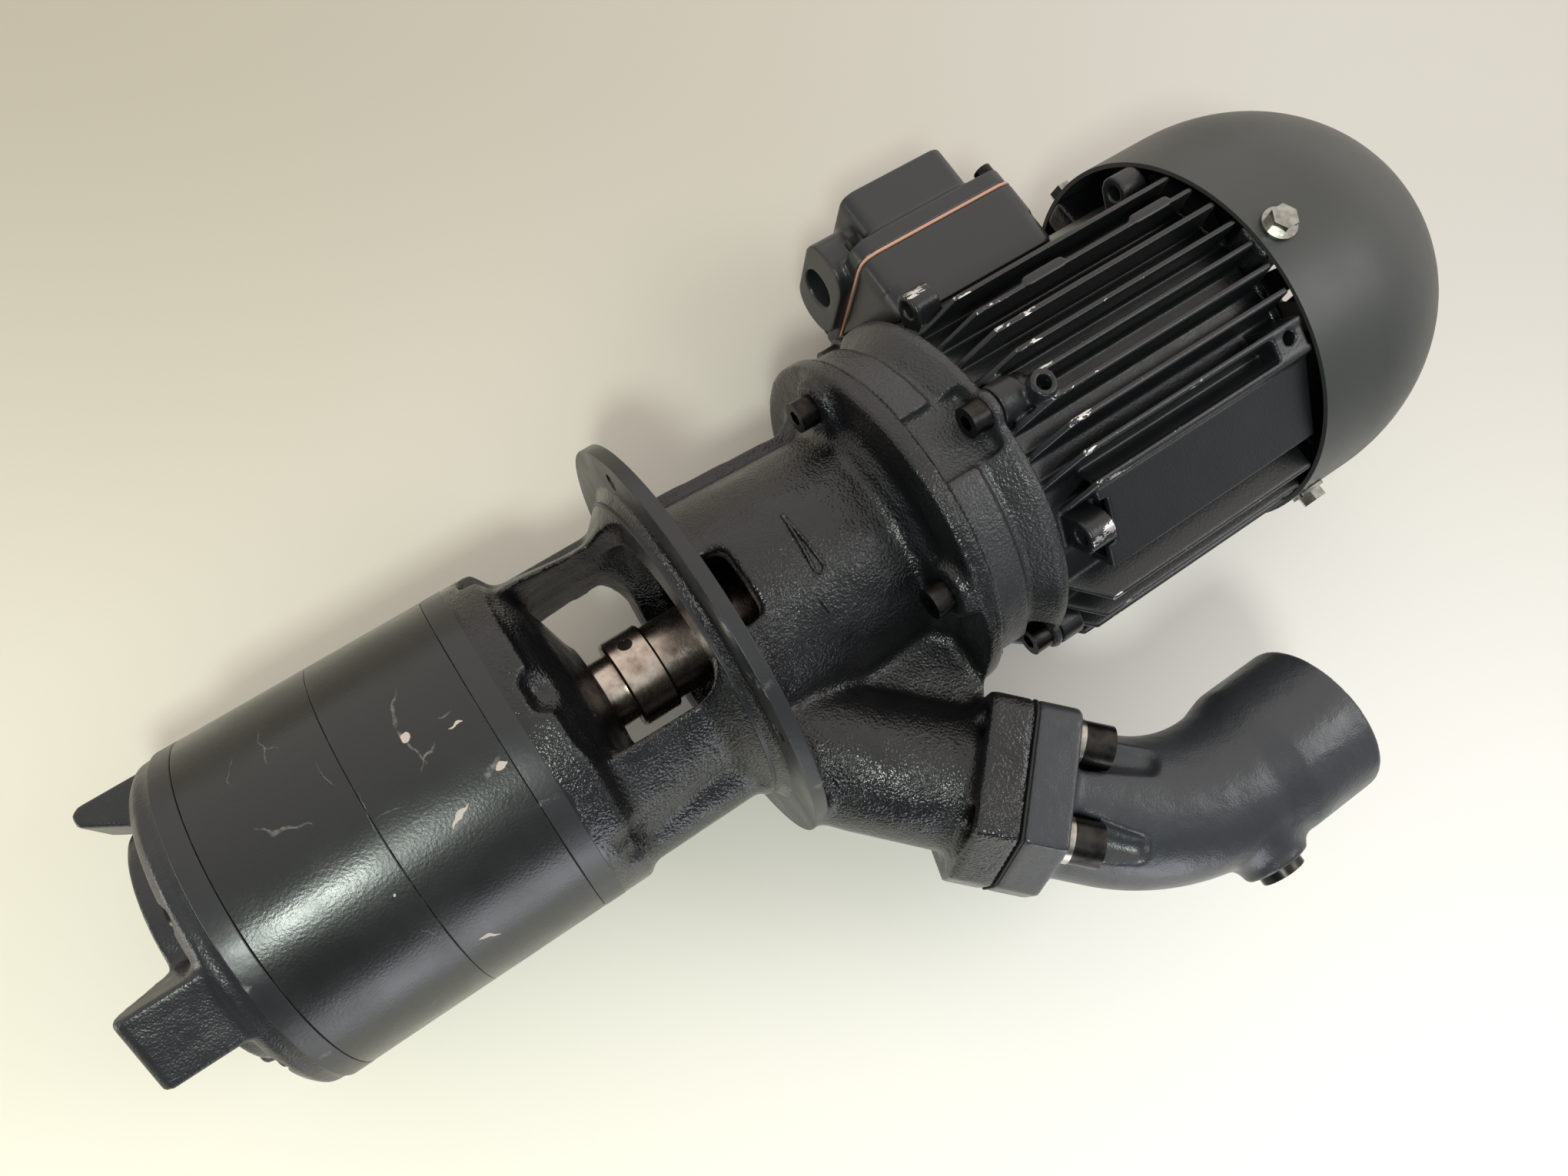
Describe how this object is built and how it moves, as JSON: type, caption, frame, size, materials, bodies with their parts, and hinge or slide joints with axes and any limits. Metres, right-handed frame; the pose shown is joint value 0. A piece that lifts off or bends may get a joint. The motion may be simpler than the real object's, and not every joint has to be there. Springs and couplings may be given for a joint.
{
  "type": "immersion pump",
  "caption": "Vertical multistage immersion pump hung from a round tank flange, with a finned motor, domed fan cowl, side terminal box and an inclined discharge branch with a flanged elbow",
  "frame": {"origin": "centre of the lower face of the tank mounting flange, on the shaft axis", "axes": "+Z along the shaft from the pump to the motor, +X towards the discharge branch, +Y completes a right-handed frame"},
  "size_m": [0.3363, 0.1916, 0.6159],
  "materials": {
    "black_casting": "satin black paint on a rough sand casting",
    "black_casing": "satin black paint on turned iron",
    "black_motor": "semi-gloss black paint on cast aluminium",
    "black_cowl": "satin black paint on pressed steel",
    "box_enamel": "satin black paint",
    "box_gasket": "matte orange rubber",
    "fibre_gasket": "matte fibre sheet",
    "seal_rubber": "matte black rubber",
    "bronze": "machined bronze",
    "grey_iron": "bare casting",
    "bright_steel": "turned steel",
    "dark_steel": "oiled, browned steel",
    "black_steel": "black oxide steel",
    "zinc_steel": "bright zinc plate",
    "lamination": "stacked sheet steel",
    "cast_aluminium": "die cast",
    "winding_enamel": "varnished copper wire",
    "fan_plastic": "moulded",
    "block_plastic": "moulded thermoset"
  },
  "bodies": {
    "pump_body": {"bracket_screws": "black_steel", "casing_ring_seals": "seal_rubber", "casing_tie_bolts": "black_steel", "cowl_screws": "zinc_steel", "cowl_washers": "zinc_steel", "discharge_elbow": "black_casting", "drive_end_bearing_outer_race": "bright_steel", "drive_end_shield": "black_casting", "elbow_gasket": "fibre_gasket", "elbow_plug": "black_steel", "elbow_screws": "black_steel", "elbow_washers": "bright_steel", "end_shield_screws": "black_steel", "fan_cowl": "black_cowl", "fan_end_bearing_outer_race": "bright_steel", "fan_end_shield": "black_casting", "lid_screws": "bright_steel", "lower_diffuser": "grey_iron", "lower_stage_casing": "black_casing", "motor_housing": "black_motor", "preload_washer": "bright_steel", "pump_bracket": "black_casting", "shaft_bush": "bronze", "shaft_seal": "seal_rubber", "stator_core": "lamination", "stator_windings": "winding_enamel", "suction_cover": "black_casting", "terminal_block": "block_plastic", "terminal_box_base": "box_enamel", "terminal_box_gasket": "box_gasket", "terminal_box_lid": "box_enamel", "upper_diffuser": "grey_iron", "upper_stage_casing": "black_casing"},
    "rotor": {"clamp_set_screw": "black_steel", "cooling_fan": "fan_plastic", "coupling_clamp_ring": "dark_steel", "coupling_key": "bright_steel", "coupling_sleeve": "dark_steel", "drive_end_bearing_balls": "bright_steel", "drive_end_bearing_inner_race": "bright_steel", "fan_end_bearing_balls": "bright_steel", "fan_end_bearing_inner_race": "bright_steel", "impeller_nut": "bright_steel", "impeller_spacer": "bright_steel", "impeller_washer": "bright_steel", "lower_impeller": "bronze", "motor_shaft": "bright_steel", "pump_shaft": "bright_steel", "rotor_core": "lamination", "rotor_end_rings": "cast_aluminium", "splash_ring": "seal_rubber", "upper_impeller": "bronze"}
  },
  "joints": [
    {"name": "shaft_spin", "type": "hinge", "parent": "pump_body", "child": "rotor", "pos_m": [0, 0, 0], "axis": [0, 0, 1], "continuous": true}
  ]
}
